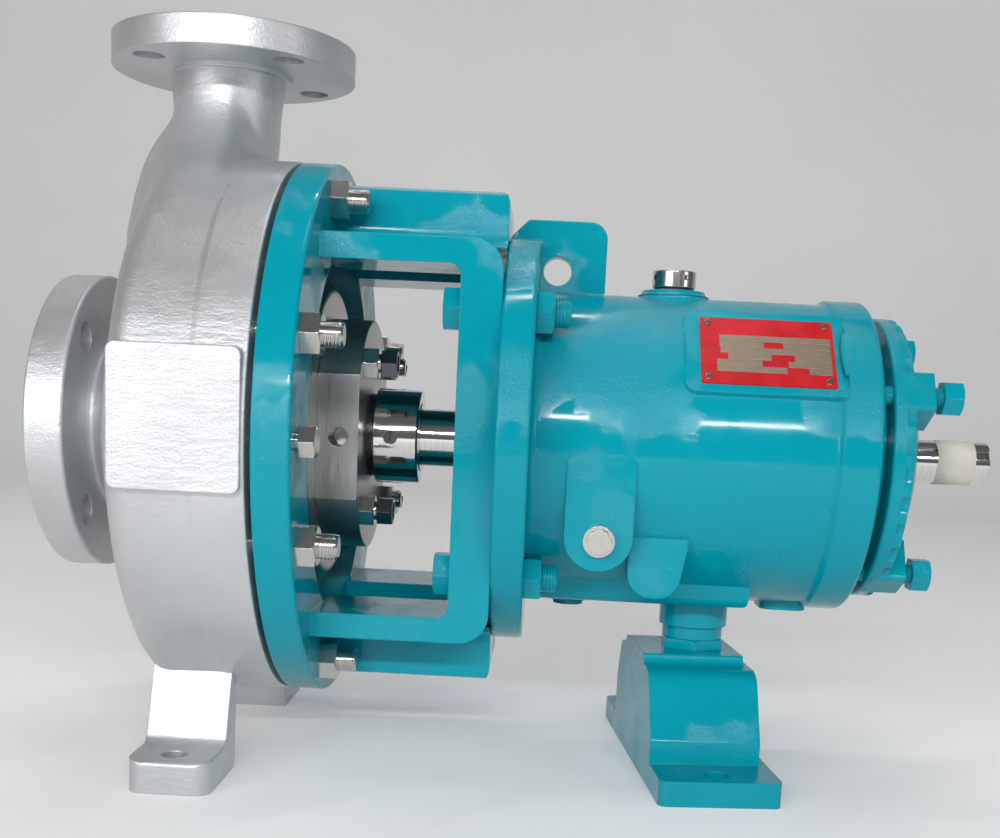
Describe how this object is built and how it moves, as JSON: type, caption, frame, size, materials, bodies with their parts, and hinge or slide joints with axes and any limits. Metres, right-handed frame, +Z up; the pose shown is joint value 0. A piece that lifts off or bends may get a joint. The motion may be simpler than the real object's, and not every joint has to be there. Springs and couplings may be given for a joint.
{
  "type": "centrifugal pump",
  "caption": "Horizontal end-suction process pump: volute casing on feet, top discharge, open lantern adapter, mechanical seal, oil-filled bearing housing and keyed coupling shaft.",
  "frame": {"origin": "midway between the two casing foot holes, on the base plane, in the vertical plane of the discharge centreline", "axes": "+X along the shaft from the suction flange to the coupling end, +Y to the far side, +Z up"},
  "size_m": [0.6011, 0.3435, 0.4509],
  "materials": {
    "cast_silver": "aluminium paint over a sand casting",
    "enamel": "glossy teal enamel over a sand casting",
    "enamel_fastener": "teal enamel over steel fasteners",
    "stainless": "turned and brushed stainless steel",
    "bright_steel": "bright ground steel",
    "dark_steel": "blackened steel",
    "carbon": "black carbon",
    "gasket": "black sheet gasket and rubber",
    "bronze": "bronze",
    "plate_red": "red printed plate with bare fields",
    "tape": "off-white paper tape"
  },
  "bodies": {
    "pump_body": {"volute_casing": "cast_silver", "suction_nozzle": "cast_silver", "pump_feet": "cast_silver", "casing_gasket": "gasket", "seal_chamber_cover": "stainless", "frame_adapter": "enamel", "casing_studs": "stainless", "casing_nuts": "stainless", "jack_bolts": "stainless", "seal_gland": "stainless", "gland_studs": "stainless", "gland_nuts": "stainless", "gland_lock_nuts": "dark_steel", "seal_throttle_ring": "carbon", "adapter_bolts": "enamel_fastener", "adapter_nuts": "enamel_fastener", "bearing_housing": "enamel", "clamp_bolts": "enamel_fastener", "inboard_oil_seal": "bronze", "oil_level_plug": "stainless", "sump_drain_plug": "enamel_fastener", "nameplate": "plate_red", "nameplate_rivets": "bright_steel", "support_nut": "enamel_fastener", "support_washer": "enamel_fastener", "support_stud": "enamel_fastener", "support_foot": "enamel"},
    "bearing_carrier": {"thrust_carrier": "enamel", "thrust_outer_ring": "bright_steel", "snap_ring": "dark_steel", "carrier_o_ring": "gasket", "outboard_oil_seal": "bronze", "inboard_outer_ring": "bright_steel", "seal_stationary_ring": "bright_steel"},
    "rotor": {"pump_shaft": "bright_steel", "impeller": "stainless", "seal_sleeve": "stainless", "seal_rotary_ring": "carbon", "drive_collar": "stainless", "collar_set_screws": "dark_steel", "inboard_inner_ring": "bright_steel", "thrust_inner_ring": "bright_steel", "bearing_locknut": "dark_steel", "lock_washer": "dark_steel"},
    "inboard_ball_set": {"inboard_balls": "bright_steel", "inboard_cage": "bronze"},
    "thrust_ball_set": {"thrust_balls": "bright_steel", "thrust_cage": "bronze"},
    "jack_screw_a": {"jack_screw_1": "enamel_fastener"},
    "jack_screw_b": {"jack_screw_2": "enamel_fastener"},
    "cap_washer": {"filler_cap_washer": "gasket"},
    "cap": {"filler_cap": "stainless"}
  },
  "joints": [
    {"name": "carrier_adjust", "type": "slide", "parent": "pump_body", "child": "bearing_carrier", "axis": [1, 0, 0], "range_m": [-0.0004, 0.001]},
    {"name": "rotor_spin", "type": "hinge", "parent": "bearing_carrier", "child": "rotor", "pos_m": [0.3, 0, 0.20955], "axis": [1, 0, 0], "continuous": true},
    {"name": "inboard_balls_spin", "type": "hinge", "parent": "bearing_carrier", "child": "inboard_ball_set", "pos_m": [0.2085, 0, 0.20955], "axis": [1, 0, 0], "continuous": true},
    {"name": "thrust_balls_spin", "type": "hinge", "parent": "bearing_carrier", "child": "thrust_ball_set", "pos_m": [0.38685, 0, 0.20955], "axis": [1, 0, 0], "continuous": true},
    {"name": "jack_screw_a_turn", "type": "hinge", "parent": "pump_body", "child": "jack_screw_a", "pos_m": [0.43, -0.07015, 0.25005], "axis": [1, 0, 0], "range_deg": [-260, 120]},
    {"name": "jack_screw_b_turn", "type": "hinge", "parent": "pump_body", "child": "jack_screw_b", "pos_m": [0.43, 0.07015, 0.16905], "axis": [1, 0, 0], "range_deg": [-260, 120]},
    {"name": "cap_lift", "type": "slide", "parent": "pump_body", "child": "cap_washer", "axis": [0, 0, 1], "range_m": [0, 0.009]},
    {"name": "cap_turn", "type": "hinge", "parent": "cap_washer", "child": "cap", "pos_m": [0.2886, 0, 0.312], "axis": [0, 0, 1], "range_deg": [0, 2160]}
  ],
  "couplings": [
    {"joint": "inboard_balls_spin", "follows": "rotor_spin", "ratio": 0.3828},
    {"joint": "thrust_balls_spin", "follows": "rotor_spin", "ratio": 0.3966},
    {"joint": "jack_screw_a_turn", "follows": "carrier_adjust", "rad_per_m": -4188.8},
    {"joint": "jack_screw_b_turn", "follows": "carrier_adjust", "rad_per_m": -4188.8},
    {"joint": "cap_lift", "follows": "cap_turn", "m_per_rad": 0.0002387}
  ]
}
